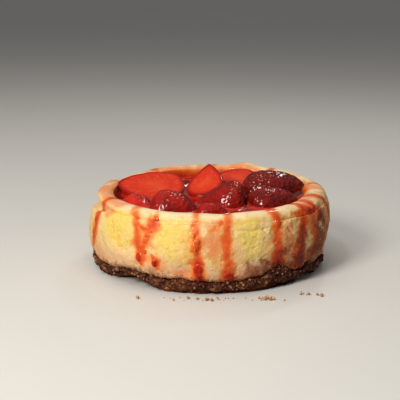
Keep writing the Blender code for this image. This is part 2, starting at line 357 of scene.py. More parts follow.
# Each run of sauce is a list of (bearing, height in mm, width in mm, depth of colour from 0 to 1). Heights above the
# rim's crest are lengths over the rim and down inside it.
RUNS = [
    [(-60, 46, 7, 0.5), (-63, 37, 6.5, 0.5), (-65, 33, 6.5, 0.52), (-66.5, 28.3, 7.0, 0.54), (-67.8, 23.2, 7.0, 0.56),
     (-70.7, 17, 7.0, 0.58), (-74.2, 11.5, 5.0, 0.4)],
    [(-42, 46, 5, 0.34), (-39, 36.5, 4.8, 0.36), (-35.3, 31.8, 5.2, 0.46),
     (-33.9, 26.7, 5.8, 0.46), (-33.3, 21.3, 6.2, 0.5), (-32.5, 17.4, 6.8, 0.58), (-32, 15.2, 7.8, 0.66),
     (-31.5, 12.8, 4.5, 0.55)],
    [(-25.4, 33.8, 4.6, 0.44), (-26.1, 30.8, 7.8, 0.58), (-27.6, 27.6, 6.0, 0.46), (-28.9, 24.3, 5.4, 0.46),
     (-30.4, 20.9, 5.6, 0.46), (-31.9, 17, 6.4, 0.58)],
    [(-36.3, 32.9, 2.2, 0.5), (-33.3, 29.9, 2.6, 0.55), (-30.6, 28.5, 2.7, 0.55), (-26.8, 29, 2.4, 0.55)],
    [(-25.9, 16.9, 3.0, 0.48), (-24, 14.6, 4.8, 0.7), (-23.4, 11.6, 3.0, 0.48)],
    [(-6, 45, 4, 0.26), (-6, 35.1, 5.0, 0.36), (-5.8, 31.8, 5.4, 0.42), (-5.3, 28, 5.2, 0.44), (-5.4, 23.7, 5.6, 0.48),
     (-5.6, 19.1, 6.0, 0.54), (-5.2, 14.5, 7.4, 0.68), (-4.8, 9.8, 6.8, 0.74), (-4.5, 5.5, 6.2, 0.92)],
    [(9, 46, 6, 0.3), (8.8, 36.5, 5.6, 0.34), (8.4, 33.9, 5.6, 0.44), (7.8, 30.2, 6.0, 0.46), (7.4, 23.7, 6.3, 0.44),
     (7.7, 17.7, 6.4, 0.46), (8.3, 12.9, 7.0, 0.56), (8.8, 8.1, 7.5, 0.76), (9.3, 4.6, 7.2, 0.95)],
    [(5.7, 33.1, 3.6, 0.42), (2.5, 30.8, 4.0, 0.34), (-0.1, 29.4, 3.0, 0.28)],
    [(27, 46, 5, 0.4), (29.6, 38, 4.6, 0.5), (31.4, 35.6, 5.2, 0.58), (31.8, 32.3, 6.2, 0.56), (31.3, 27.5, 6.3, 0.46),
     (31.3, 22.4, 6.8, 0.52), (32.6, 17.4, 7.8, 0.68), (32.9, 11.9, 10.0, 0.9)],
    [(45, 39, 3.0, 0.46), (48.8, 35.4, 4.4, 0.62), (53.4, 33.3, 5.6, 0.72), (61, 31.5, 4.6, 0.6)],
    [(49, 44, 4.0, 0.5), (55.8, 36.6, 4.4, 0.58), (57.6, 33.4, 6.0, 0.66), (61.4, 28.9, 5.6, 0.58)],
    [(40.6, 34.5, 2.6, 0.4), (46, 34.1, 3.8, 0.52), (52.2, 34.8, 3.2, 0.48)],
    [(48, 32, 6.6, 0.58), (46.4, 27.7, 7.8, 0.62), (45.3, 21.4, 7.6, 0.66), (45.3, 15.6, 9.5, 0.74),
     (46, 11, 10.0, 0.9)],
    [(55, 31, 5.6, 0.55), (56, 23.7, 6.4, 0.56), (58, 16.8, 6.8, 0.6), (57.2, 12.6, 7.7, 0.74)],
    [(60, 45, 4.0, 0.45), (66, 38.5, 4.6, 0.5), (72, 35, 4.4, 0.5), (75, 27, 4.0, 0.5), (74, 20, 3.4, 0.45)],
    [(96, 45, 5, 0.4), (96, 37.6, 5.2, 0.44), (94, 27, 5.4, 0.46), (95, 17, 6.0, 0.66)],
    [(139, 45, 6, 0.4), (139, 38, 6.4, 0.44), (137, 26, 6.0, 0.46), (138, 9, 7.4, 0.74)],
    [(176, 45, 4, 0.4), (176, 38, 5.2, 0.44), (178, 28, 5.2, 0.46), (177, 21, 6.0, 0.64)],
    [(-146, 45, 7, 0.4), (-146, 38, 6.8, 0.44), (-148, 24, 6.2, 0.46), (-147, 7, 7.6, 0.76)],
    [(-108, 45, 5, 0.4), (-108, 37, 5.2, 0.44), (-110, 28, 5.2, 0.46), (-109, 16, 6.0, 0.64)],
]

# Soft patches on the wall: (bearing, height, half width, half height in mm, strength)
YELLOW_PATCHES = [
    (-47, 26, 11, 10, 1.0), (-17, 27, 11, 9, 0.9), (-12, 17, 8, 6, 0.7), (18, 35, 9, 4, 1.0), (18, 27, 8, 7, 0.7),
    (22, 20, 8, 6, 0.5), (2, 17, 4, 6, 0.4), (1, 34.5, 5, 3, 0.3),
]
# Sauce stains; the wide patch at bearing 70 on the right wall is also painted shade of that side.
STAINED_AND_SHADED_PATCHES = [
    (-31, 24, 7, 10, 0.7), (2, 24, 6, 9, 0.8), (2, 31, 6, 4, 0.7), (-11, 22, 5, 8, 0.4), (-8, 9, 9, 5, 0.7),
    (53, 32, 12, 8, 0.9), (16, 11, 8, 5, 0.4), (38, 18, 8, 14, 0.9), (-25, 13, 7, 6, 0.6), (-60, 34, 9, 5, 0.8),
    (-36, 35, 6, 3, 0.6), (28, 20, 5, 8, 0.4), (70, 20, 15, 15, 0.8), (-5, 26, 6, 12, 0.4), (8, 20, 7, 12, 0.5),
]
SPECK_PATCHES = [
    (-50, 25, 6, 5, 1.0), (-42, 21, 5, 5, 1.0), (-10, 22, 7, 9, 0.8),
    (-20, 19, 7, 6, 0.6), (2, 22, 6, 9, 0.8), (26, 14, 8, 6, 0.6),
]
# Brown-red soak of sauce on the wall, which round the right front and the right is painted shade as well:
# (bearing, height, half width, half height in mm, strength)
SOAKED_AND_SHADED_PATCHES = [
    (32, 9, 11, 7, 1.0), (44, 8, 9, 7, 1.0), (24, 10, 9, 7, 1.0), (15, 6.5, 6, 3, 0.7), (57, 11, 8, 7, 0.9),
    (9, 5.5, 6, 4, 0.8), (-4.5, 6, 5, 3, 0.7), (46, 20, 5, 10, 0.9), (38, 13, 9, 8, 0.8), (63, 18, 10, 14, 1.0),
    (138, 8, 8, 4, 0.8), (-147, 7, 8, 4, 0.8), (-20, 5, 9, 2, 0.5),
]
# Wet beads of sauce and syrup on the wall: (bearing, height, radius, stand out in mm, colour depth)
BEADS = [
    (-24.4, 33.4, 0.9, 0.6, 0.5), (-29.2, 18.4, 1.1, 0.7, 0.5), (-7.0, 27.6, 1.0, 0.8, 0.3),
    (-6.5, 24.6, 1.4, 1.1, 0.3), (-4.9, 25.3, 1.2, 1.1, 0.35), (-6.8, 22.2, 1.7, 1.2, 0.35),
    (-5.0, 22.8, 1.3, 1.1, 0.35), (-6.0, 20.3, 1.2, 0.9, 0.3),
    (-24.8, 14.6, 0.8, 0.7, 0.7), (69.9, 33.5, 0.9, 0.7, 0.5), (38.4, 29.5, 1.0, 0.4, 0.0), (40.6, 26, 1.0, 0.4, 0.0),
    (35.8, 24.9, 0.9, 0.4, 0.0), (-4, 9, 1.0, 0.7, 0.7), (15.2, 25.0, 1.5, 0.5, 0.0), (22.4, 16.4, 0.8, 0.5, 0.0),
    (43.2, 8.3, 0.9, 0.6, 0.0), (26.5, 28.0, 0.9, 0.5, 0.0), (39, 21.5, 0.9, 0.4, 0.0), (1, 12.5, 1.1, 0.4, 0.0),
    (-4.9, 11.9, 2.4, 0.6, 0.75), (-32.8, 15.3, 2.0, 0.6, 0.7), (9, 8.0, 2.4, 0.5, 0.85), (-24.6, 13.7, 1.5, 0.6, 0.8),
    (31.8, 31.0, 1.7, 0.4, 0.56), (95, 18, 1.8, 0.6, 0.7), (138, 10, 2.4, 0.6, 0.75), (177, 22, 1.8, 0.6, 0.7),
    (-147, 8.4, 2.4, 0.6, 0.75), (-109, 17, 1.8, 0.6, 0.7),
]


def lip_radius(bearing):
    """The outer radius of the rim, which sits a little to the right of the wall under it."""
    return LIP_RADIUS + LIP_SHIFT * math.sin(math.radians(bearing))


def rim_top(bearing):
    """The height of the rim's crest, which is lowest at the front."""
    turn = math.radians(bearing)
    tilt = 0.3 * MM * math.sin(turn) - 1.1 * MM * math.cos(turn)
    peak = 1.5 * MM * mound(bearing, 157, 7) - 1.6 * MM * mound(bearing, -126, 20)
    return RIM_HEIGHT + tilt + peak + 0.5 * MM * drift(bearing, 9, 3.1)


def rim_width(bearing):
    uneven = 3.0 * mound(bearing, 84, 34) - 1.0 * mound(bearing, -78, 26) + 0.8 * drift(bearing, 6, 7.7)
    return RIM_WIDTH + uneven * MM


def lip_drop(bearing):
    """How far under the crest the smooth lip ends in a crease."""
    return (4.0 + 1.2 * mound(bearing, 50, 30) + 6.0 * mound(bearing, -98, 33) + 0.9 * drift(bearing, 8, 2.2)) * MM


def ledge(bearing):
    """How far the wall stands out under the crease."""
    return 0.5 * MM + 2.3 * MM * mound(bearing, -88, 24) + 0.5 * MM * drift(bearing, 7, 9.4)


def wall_relief(bearing, height, share):
    """Lumps of the baked wall, rougher towards the foot and round the right front."""
    spot = around(BELLY_RADIUS, bearing, height)
    broad = noise.noise(spot / (15 * MM)) * 1.0 * MM
    fine = noise.noise(spot / (6.5 * MM) + Vector((4, 2, 9))) * (0.35 + 0.5 * mound(bearing, 40, 28)) * MM
    return (broad + fine) * math.sin(math.pi * min(1, share + 0.15)) ** 0.5


def cheese_profile(bearing):
    """(radius, height) of the cheese, from under it, up the wall, over the rim and down into the hollow."""
    foot = crust_top(bearing)
    top = rim_top(bearing)
    drop = lip_drop(bearing)
    points = [(FOOT_RADIUS * 0.9, BASE_HEIGHT), (FOOT_RADIUS - 1.6 * MM, foot)]
    for row in range(10):
        share = row / 9
        height = foot + (top - drop - foot) * (0.05 + 0.95 * share)
        radius = (
            (1 - share) ** 2 * FOOT_RADIUS
            + 2 * share * (1 - share) * (BELLY_RADIUS + 2.4 * MM * mound(bearing, 90, 40))
            + share**2 * (lip_radius(bearing) + ledge(bearing))
        )
        points.append((radius + wall_relief(bearing, height, share), height))
    width = rim_width(bearing)
    outer = lip_radius(bearing)
    arch = (4.2 + 1.3 * math.sin(math.radians(bearing))) * MM
    groove = 0.5 - 0.6 * mound(bearing, -5, 50) + 0.3 * drift(bearing, 12, 6.6)
    points.append((outer - groove * MM, top - drop + 0.5 * MM))
    for angle in (8, 32, 55, 75, 92, 112, 135, 160):
        turn = math.radians(angle)
        side = math.copysign(abs(math.cos(turn)) ** 0.8, math.cos(turn))
        points.append((outer - width / 2 + width / 2 * side, top - arch + arch * math.sin(turn) ** 0.85))
    inner = outer - width
    points.append((inner - 0.2 * MM, HOLLOW_FLOOR + 6 * MM))
    points.append((inner - 3.0 * MM, HOLLOW_FLOOR))
    points.append((inner * 0.5, HOLLOW_FLOOR))
    return points


def round_wall(bearings, bearing, radius=FILM_RADIUS):
    """How far round the wall some bearings are from one bearing, in mm."""
    return np.radians((bearings - bearing + 180) % 360 - 180) * radius


def run_cover(bearings, heights, wobble):
    """The colour depth of the sauce that ran down, from 0 to 1, and its thickness in metres, at each point."""
    colour = np.zeros(heights.shape)
    thick = np.zeros(heights.shape)
    for run in RUNS:
        for (b0, h0, w0, d0), (b1, h1, w1, d1) in zip(run, run[1:]):
            u = round_wall(bearings, b0)
            v = heights - h0
            du = math.radians(b1 - b0) * FILM_RADIUS
            dv = h1 - h0
            t = np.clip((u * du + v * dv) / (du * du + dv * dv), 0, 1)
            away = np.hypot(u - t * du, v - t * dv)
            inside = 1 - away / ((w0 + (w1 - w0) * t) / 2 * (1 + 0.28 * wobble))
            depth = d0 + (d1 - d0) * t
            colour = np.maximum(colour, depth * np.clip((inside + 0.6) / 1.35, 0, 1) ** 1.25)
            thick = np.maximum(thick, 0.3 * MM * np.clip(inside, 0, 1) * np.clip(depth * 1.8 - 0.5, 0.1, 1))
    return colour, thick


def patch_cover(patches, bearings, heights, wobble):
    """How strongly soft patches cover each point, from 0 to 1."""
    cover = np.zeros(heights.shape)
    for bearing, height, half_width, half_height, strength in patches:
        u = round_wall(bearings, bearing) / half_width
        v = (heights - height) / half_height
        cover = np.maximum(cover, strength * np.clip(1.4 - u * u - v * v + 0.5 * wobble, 0, 1.2) / 1.2)
    return cover


steps = (2, 2) + (WALL_ROWS,) * 10 + (RIM_ROWS,) * 8 + (4, 3, 1)
grid, bearings = lathe_grid(cheese_profile, steps, CHEESE_STEPS)
turned = np.broadcast_to(bearings, grid.shape[:2])
row = np.arange(grid.shape[0])[:, None] + 0 * turned
foot = np.array([crust_top(bearing) for bearing in bearings]) / MM
heights = grid[..., 2] / MM
lengths = np.cumsum(np.linalg.norm(np.diff(grid, axis=0, prepend=grid[:1]), axis=-1), axis=0) / MM
over = np.where(row > CREST_ROW, heights[CREST_ROW] + lengths - lengths[CREST_ROW], heights)
on_rim = np.clip((over - heights[CREST_ROW] + 3.0 + 0.8 * lumps(grid, 8 * MM, 35)) / 2.4, 0, 1)
inside = np.clip((over - heights[CREST_ROW] - 0.8) / 4.0, 0, 1)
wobble = lumps(grid, 3.2 * MM, 21) + 0.6 * lumps(grid, 1.4 * MM, 22)
run_colour, run_thick = run_cover(turned, over, wobble)
run_colour *= 0.97 + 0.2 * lumps(grid, 1.6 * MM, 30) + 0.22 * lumps(grid, 4.0 * MM, 37)
bead_wet = np.zeros(heights.shape)
bead_out = np.zeros(heights.shape)
for bearing, height, radius, out, depth in BEADS:
    away = np.hypot(round_wall(turned, bearing, BEAD_RADIUS), (over - height) * 0.85) / radius
    dome = np.clip(1 - away**2, 0, 1)
    bead_wet = np.maximum(bead_wet, np.clip(dome * 3, 0, 1))
    bead_out += dome**0.7 * out * MM
    run_colour = np.maximum(run_colour, depth * np.clip(dome * 2.5, 0, 1))
rough = (0.26 + 0.34 * mound(turned, 48, 22) + 0.5 * np.exp(-(((heights - foot) / 6) ** 2))) * (1 - on_rim)
relief = rough * (0.6 * lumps(grid, 3.4 * MM, 23) + 0.4 * lumps(grid, 1.6 * MM, 24))
relief = (relief + 0.12 * lumps(grid, 2.6 * MM, 31)) * MM
pits = np.clip(lumps(grid, 1.7 * MM, 25) - 0.58, 0, 1) * 1.8 * (1 - on_rim) * MM
crease = 0.5 * MM * np.exp(-(((heights - 29.5 - 0.9 * lumps(grid, 5 * MM, 32)) / 0.45) ** 2)) * mound(turned, 20, 11)
grid = push_out(grid, np.where(heights > foot + 0.3, relief - pits - crease, 0) + run_thick + bead_out)

mottled = lumps(grid, 7 * MM, 26) + 0.5 * lumps(grid, 3 * MM, 27)
hidden_sides = 1 - mound(turned, 0, 75)
yellow = patch_cover(YELLOW_PATCHES, turned, heights, wobble)
yellow = np.maximum(yellow, hidden_sides * np.clip(0.15 + 1.1 * lumps(grid, 15 * MM, 28), 0, 0.8))
stain = patch_cover(STAINED_AND_SHADED_PATCHES, turned, heights, wobble)
stain = np.maximum(stain, hidden_sides * np.clip(lumps(grid, 13 * MM, 29) * 1.4 - 0.05, 0, 0.65)) * (1 - 0.7 * on_rim)
rim_stain = 0.05 + 0.4 * mottled + 0.5 * mound(turned, 66, 32)
rim_stain = rim_stain + 0.7 * mound(turned, -72, 28) + 0.5 * mound(turned, -170, 80)
angles = np.radians(turned)
slanted = np.stack([angles * FILM_RADIUS + over * 1.3, over * 0.9 - angles * 12, 0 * over], axis=-1)
strands = lumps(slanted, 2.4, 36)
rim_stain += (0.7 * mound(turned, 66, 30) + 0.4 * mound(turned, -75, 30)) * np.clip(strands, 0, 1)
stain = np.maximum(stain, on_rim * np.clip(rim_stain + inside * 0.7, 0, 0.85))
seep = inside * (0.35 + 0.25 * mottled + 0.35 * np.clip((over - heights[CREST_ROW] - 4) / 4, 0, 1))
foot_soak_and_shade = patch_cover(SOAKED_AND_SHADED_PATCHES, turned, heights, wobble)
specks = patch_cover(SPECK_PATCHES, turned, heights, wobble)
specks = np.maximum(specks, hidden_sides * np.clip(lumps(grid, 9 * MM, 33) * 2, 0, 0.9)) * (1 - on_rim)

cheese = closed_body("cheese_baked", grid)
tell(cheese, "sauce", np.clip(np.maximum(run_colour, seep), 0, 1))
tell(cheese, "stain", stain)
tell(cheese, "yellow", yellow * (1 - 0.8 * on_rim))
tell(cheese, "specks", specks)
tell(cheese, "soaked_foot", foot_soak_and_shade)
tell(cheese, "above_foot", heights - foot)
tell(cheese, "lip", on_rim)
tell(cheese, "bead", bead_wet)

material, place, feed = new_material(
    "baked_cheese", subsurface_weight=0.1, subsurface_scale=0.004, coat_roughness=0.05, specular_ior_level=0.35
)
material.node_tree.nodes["Principled BSDF"].inputs["Subsurface Radius"].default_value = (1.0, 0.55, 0.2)
mottle = place.grain(5 * MM, 4, 0.6)
fine = place.grain(1.1 * MM, 3, 0.6)
lip_told = place.told("lip")
colour = (place.told("yellow") + (mottle - 0.5) * 1.3).step(0.05, 0.8).mix(CHEESE_CREAM, CHEESE_YELLOW)
colour = (lip_told * 0.8 + (mottle - 0.5) * 0.9).step(0.15, 1.0).mix(colour, CHEESE_PALE)
colour = ((fine - 0.5) * 1.2).step(0.0, 0.35).mix(colour, CHEESE_PALE)
colour = (place.grain(2.2 * MM, 3, 0.7).step(0.5, 0.72) * 0.55 * (1 - lip_told * 0.7)).mix(colour, (0.88, 0.50, 0.15))
near_foot = place.told("above_foot") + (fine - 0.5) * 7 + (mottle - 0.5) * 10
colour = (near_foot.step(12.0, 4.0) * 0.85).mix(colour, CHEESE_PINK)
speckle = place.grain(1.5 * MM, 3, 0.75).step(0.47, 0.68) * (place.told("specks") + (mottle - 0.5) * 1.6).step(0.1, 0.9)
colour = (speckle * 0.7).mix(colour, CHEESE_BROWNED)
colour = (near_foot.step(4.2, 0.0) * 0.85).mix(colour, (0.27, 0.105, 0.045))
# Dark red-brown soak at the foot, which round the right front and the right is also painted shade.
soaked = (place.told("soaked_foot") + (mottle - 0.5) * 1.0 + (fine - 0.5) * 1.5).step(0.15, 1.15)
stain_and_shade_told = place.told("stain") + (mottle - 0.5) * 0.8 + (fine - 0.5) * 0.4
# Orange-red sauce staining, and on the right wall painted shade as well.
colour = (stain_and_shade_told.step(0.08, 1.0) * 0.85).mix(colour, (0.82, 0.23, 0.075))
sauce = place.told("sauce") + (fine - 0.5) * 0.16 + (mottle - 0.5) * 0.16
film = place.told("sauce").step(0.02, 0.14) * sauce.step(0.04, 0.4)
colour = film.mix(colour, sauce.ramp(FILM_TINTS))
colour = (soaked * 0.88).mix(colour, (0.23, 0.038, 0.012))
wet = (film * 0.4 + soaked * 0.2 + place.told("bead")).sum("MINIMUM", 1.0)
pores = place.cells(1.7 * MM).step(0.0, 0.35) * 0.5
texture = place.grain(0.8 * MM, 3, 0.65) + place.grain(2.4 * MM, 2) * 1.2 + pores
texture = texture * (1 - wet * 0.75) * (1 - lip_told * 0.6)
facets = place.told("bead") * film * place.grain(1.5 * MM, 1) * 2.2
feed(
    base_color=colour,
    roughness=(fine * 0.3 + 0.40) * (1 - wet) + wet * 0.12,
    coat_weight=wet * 0.85 + 0.1,
    normal=(texture + wet * place.grain(1.5 * MM, 2) * 0.9 + facets).bump(0.32 * MM),
)
cheese.data.materials.append(material)
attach(cheese, "root")
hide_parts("cheese")

# THE STRAWBERRY HALVES
# Ripe strawberries, hulled, halved lengthwise and laid in the hollow, some cut face up and some skin up. The skin is
# pitted, with a seed in each pit, and all of it is wet with sauce. The cut flesh is paler inside, with fine fibres.

Berry = namedtuple("Berry", "name length width depth place aim bluntness tone")

# Length, full width and depth of the half, and the middle of its cut face, in mm; heading and rise of the tip and
# roll, in degrees; bluntness of the tip, all as in the solid model; and how dark its skin is
BERRIES = [
    Berry("strawberry_left", 33.7, 29, 12.0, (-28.7, 8.6, 36.5), (178, 2, -17), 0.75, 0.3),
    Berry("strawberry_front_left", 22, 16, 9.5, (-33.5, -15.8, 27.0), (-64, 0, 180), 0.4, -0.3),
    Berry("strawberry_front_middle", 24, 21, 12.5, (-16.1, -27.2, 28.5), (-10, 0, 180), 0.8, 0.35),
    Berry("strawberry_front", 24.1, 24.6, 18.0, (4.5, -15.2, 27.2), (180, 16.6, 172), 0.0, 0.45),
    Berry("strawberry_front_right", 27.5, 20.8, 9.5, (31.2, -14.2, 30.8), (23, 7.9, 180), 0.3, 0.75),
    Berry("strawberry_right", 32.2, 24.1, 11.9, (32.9, 6.8, 32.7), (-3, 14.8, 198.5), 0.4, 0.9),
    Berry("strawberry_peak", 26, 19.1, 9.4, (-1.1, 6.5, 40.0), (81.7, 24.1, -13.1), 0.0, 0.3),
    Berry("strawberry_back", 23, 20, 10.0, (14.4, 33.4, 35.5), (176, 0, -15), 0.4, 0.4),
    Berry("strawberry_back_left", 26, 20, 9.5, (-14.0, 31.8, 25.8), (22, 0, 180), 0.4, 0.6),
    Berry("strawberry_front_low", 19, 11, 9.0, (2.6, -35.2, 28.0), (16, -4, 176), 0.5, 0.3),
    Berry("strawberry_middle", 18, 12, 9.0, (11.5, 17.5, 26.5), (76, 0, 180), 0.3, 0.6),
    Berry("strawberry_back_right", 21, 14, 8.5, (32.3, 23.5, 27.0), (138, 0, 180), 0.4, 0.5),
]
BERRY_RINGS = 84
CUT_ROUNDING = 1.3
PIT_DEPTH = 0.34
SKIN_POINTS = 84
CUT_POINTS = 29
SEED_SPACING = 2.3


def berry_outline(share, bluntness):
    """Half the width of a strawberry at a share of its length, from the stalk end to the tip, at most 1."""
    widest = 0.34
    stalk = np.clip((widest - share) / widest, 0, 1)
    tip = np.clip((share - widest) / (1 - widest), 0, 1)
    return np.where(
        share < widest,
        (1 - stalk**2.4) ** 0.5,
        (1 - tip ** (1.5 + 0.7 * bluntness)) ** (0.84 - 0.3 * bluntness),
    )


def berry_skin(berry, share, turn):
    """Points of the skin in mm, before the half is placed, at shares of the length and turns from edge to edge."""
    scale = berry_outline(share, berry.bluntness)
    x = (share - 0.5) * berry.length
    y = berry.width / 2 * scale * np.cos(turn)
    return np.stack([x + 0 * turn, y, -berry.depth * scale * np.sin(turn)], axis=-1)


def berry_turn(berry):
    """The turn from a half's own axes to the cake's."""
    heading, rise, roll = (math.radians(angle) for angle in berry.aim)
    return np.array(Euler((roll, -rise, heading)).to_matrix())


def placed(berry, points):
    """Points of a berry turned and moved to its place in the cake, in metres."""
    return (points @ berry_turn(berry).T + np.array(berry.place)) * MM


def seed_spots(berry, randomly):
    """Where the seeds sit, as shares of the length and turns, in staggered rings."""
    spots = []
    ring = 0.07
    row = 0
    while ring < 0.965:
        scale = float(berry_outline(np.array(ring), berry.bluntness))
        girth = math.pi * math.sqrt((berry.width**2 / 4 + berry.depth**2) / 2) * scale
        count = max(2, round(girth / SEED_SPACING))
        for place_in_row in range(count):
            turn = math.pi * (place_in_row + 0.25 + 0.5 * (row % 2)) / count
            turn += randomly.uniform(-0.3, 0.3) / count * math.pi
            if 0.16 < turn < math.pi - 0.16:
                spots.append((ring + randomly.uniform(-0.018, 0.018), turn))
        ring += SEED_SPACING * 0.88 / berry.length / max(0.75, scale**0.2)
        row += 1
    return np.array(spots)


def strawberry(berry, index):
    """One half as a closed piece, and its seeds' places and outward directions."""
    randomly = np.random.default_rng(40 + index)
    shares = ((1 - np.cos(np.pi * np.arange(1, BERRY_RINGS) / BERRY_RINGS)) / 2)[:, None]
    turns = np.linspace(0, np.pi, SKIN_POINTS + 1)[None, :]
    skin = berry_skin(berry, shares, turns)
    reach = berry_outline(shares, berry.bluntness)
    rounding = CUT_ROUNDING * np.clip(reach * 1.5, 0.05, 1)
    skin[..., 2] = skin[..., 2] * (1 - rounding / berry.depth) - rounding
    spots = seed_spots(berry, randomly)
    seeds = berry_skin(berry, spots[:, 0], spots[:, 1])
    step = 0.01
    out = np.cross(
        berry_skin(berry, spots[:, 0] + step, spots[:, 1]) - berry_skin(berry, spots[:, 0] - step, spots[:, 1]),
        berry_skin(berry, spots[:, 0], spots[:, 1] + step) - berry_skin(berry, spots[:, 0], spots[:, 1] - step),
    )
    out /= np.linalg.norm(out, axis=-1, keepdims=True)
    out *= np.sign(np.sum(out * (seeds - np.array([0, 0, -berry.depth * 0.2])), axis=-1, keepdims=True))
    nearest = np.min(np.linalg.norm(skin[:, :, None] - seeds[None, None], axis=-1), axis=-1)
    middle = np.array([0, 0, -berry.depth * 0.3])
    inward = middle * [0, 1, 1] - skin * [0, 1, 1]
    inward /= np.linalg.norm(inward, axis=-1, keepdims=True) + 1e-9
    pit = PIT_DEPTH * np.clip(1 - (nearest / 1.0) ** 2, 0, 1) ** 1.5
    swell = 0.4 * lumps(skin + index * 31, 8, 50) + 0.16 * lumps(skin + index * 31, 3, 52)
    swell += max(0, berry.tone) * 0.34 * lumps(skin + index * 31, 2.0, 53)
    edge = np.sin(turns)[..., None] ** 0.3
    skin = skin + inward * (pit - 0.08 - swell)[..., None] * edge
    across = np.sin(np.pi * (np.arange(1, CUT_POINTS) / CUT_POINTS - 0.5))[None, ::-1] * -1
    half = (berry.width / 2 * reach) * across
    along = (shares - 0.5) * berry.length + 0 * half
    waves = 0.16 * lumps(np.stack([along, half, 0 * half + index * 9], axis=-1), 4.5, 51)
    short = np.clip(rounding - (berry.width / 2 * reach - np.abs(half)), 0, rounding)
    dish = -0.3 * (1 - across**2) + waves - rounding + np.sqrt(rounding**2 - short**2)
    cut = np.stack([along, half, dish], axis=-1)
    grid = np.concatenate([skin, cut], axis=1)
    piece = closed_body(berry.name + "_half", placed(berry, grid))
    local = np.vstack([grid.reshape(-1, 3), [grid[0].mean(axis=0)], [grid[-1].mean(axis=0)]])
    piece.data.attributes.new("local", "FLOAT_VECTOR", "POINT").data.foreach_set("vector", local.ravel())
    is_cut = np.zeros(grid.shape[:2])
    is_cut[:, SKIN_POINTS + 1 :] = 1
    is_cut[:, [0, SKIN_POINTS]] = 0.4
    tell(piece, "cut", is_cut)
    outline = berry_skin(berry, np.linspace(0, 1, 160)[:, None], np.array([[0, np.pi]])).reshape(-1, 3)
    inside = np.min(np.linalg.norm(grid[:, :, None, :2] - outline[None, None, :, :2], axis=-1), axis=-1)
    tell(piece, "inside", inside * (is_cut > 0.5))
    tell(piece, "pit", np.concatenate([pit / PIT_DEPTH, np.zeros(cut.shape[:2])], axis=1))
    seeds = seeds - out * 0.18
    turn = berry_turn(berry)
    return piece, placed(berry, seeds), out @ turn.T, np.tile(turn[:, 0], (len(seeds), 1))


def berry_material(berry):
    """Wet strawberry: glossy pitted skin, and paler cut flesh with fibres that run out from its middle."""
    material, place, feed = new_material(
        berry.name, subsurface_weight=0.06, subsurface_scale=0.003, coat_roughness=0.04, specular_ior_level=0.05
    )
    material.node_tree.nodes["Principled BSDF"].inputs["Subsurface Radius"].default_value = (1.0, 0.12, 0.06)
    local = place.told("local", "Vector")
    x = local.node("ShaderNodeSeparateXYZ", {}, {"Vector": local})
    y = Link(x.socket.node.outputs[1])
    wide = local.grain(7.0, 3)
    fine = local.grain(0.9, 3)
    bright = np.array((0.54, 0.016, 0.008)) * (1 - berry.tone) + np.array((0.16, 0.003, 0.002)) * berry.tone
    deep = bright * 0.5
    skin = (wide + (fine - 0.5) * 0.3).step(0.3, 0.7).mix(deep, bright)
    # Painted shade: the skin is darker down in the seed pits.
    skin = (place.told("pit") * 0.35).mix(skin, deep * 0.8)
    hulled = (x + (fine - 0.5) * 0.8).step(-berry.length * 0.462, -berry.length * 0.478)
    skin = (hulled * 0.45).mix(skin, (0.60, 0.10, 0.05))
    turn = y.sum("ARCTAN2", x + berry.length * 0.2)
    reach = local.node("ShaderNodeVectorMath", {"operation": "LENGTH"}, {0: local}, "Value")
    spread = turn.node("ShaderNodeCombineXYZ", {}, {"X": turn * 6.0, "Y": reach * 0.13, "Z": 0.0})
    fibre = spread.grain(0.5, 2, 0.6).step(0.48, 0.7)
    inside = place.told("inside")
    core = inside.step(berry.width * 0.18, berry.width * 0.44)
    flesh = inside.step(0.3, 3.0).mix((0.32, 0.008, 0.004), (0.64, 0.028, 0.008))
    flesh = (fibre * inside.step(0.9, 3.6) * 0.5).mix(flesh, (0.80, 0.125, 0.032))
    flesh = (core * 0.5 + (wide - 0.5) * 1.0).step(0.0, 1.0).mix(flesh, (0.76, 0.085, 0.022))
    cut = place.told("cut").step(0.45, 0.7)
    height = (local.grain(1.9, 1) * (1.3 + max(0, berry.tone) * 2.0) + local.grain(4.0, 2) * 1.6) * (0.45 - cut * 0.25)
    feed(
        base_color=cut.mix(skin, flesh),
        roughness=fine * 0.2 + 0.45,
        coat_weight=0.55 + 0.45 * berry.tone - cut * 0.25,
        normal=(height + local.cells(3.0) * (0.7 - cut * 0.7) * berry.tone).bump((0.5 + 0.8 * berry.tone) * MM),
    )
    return material


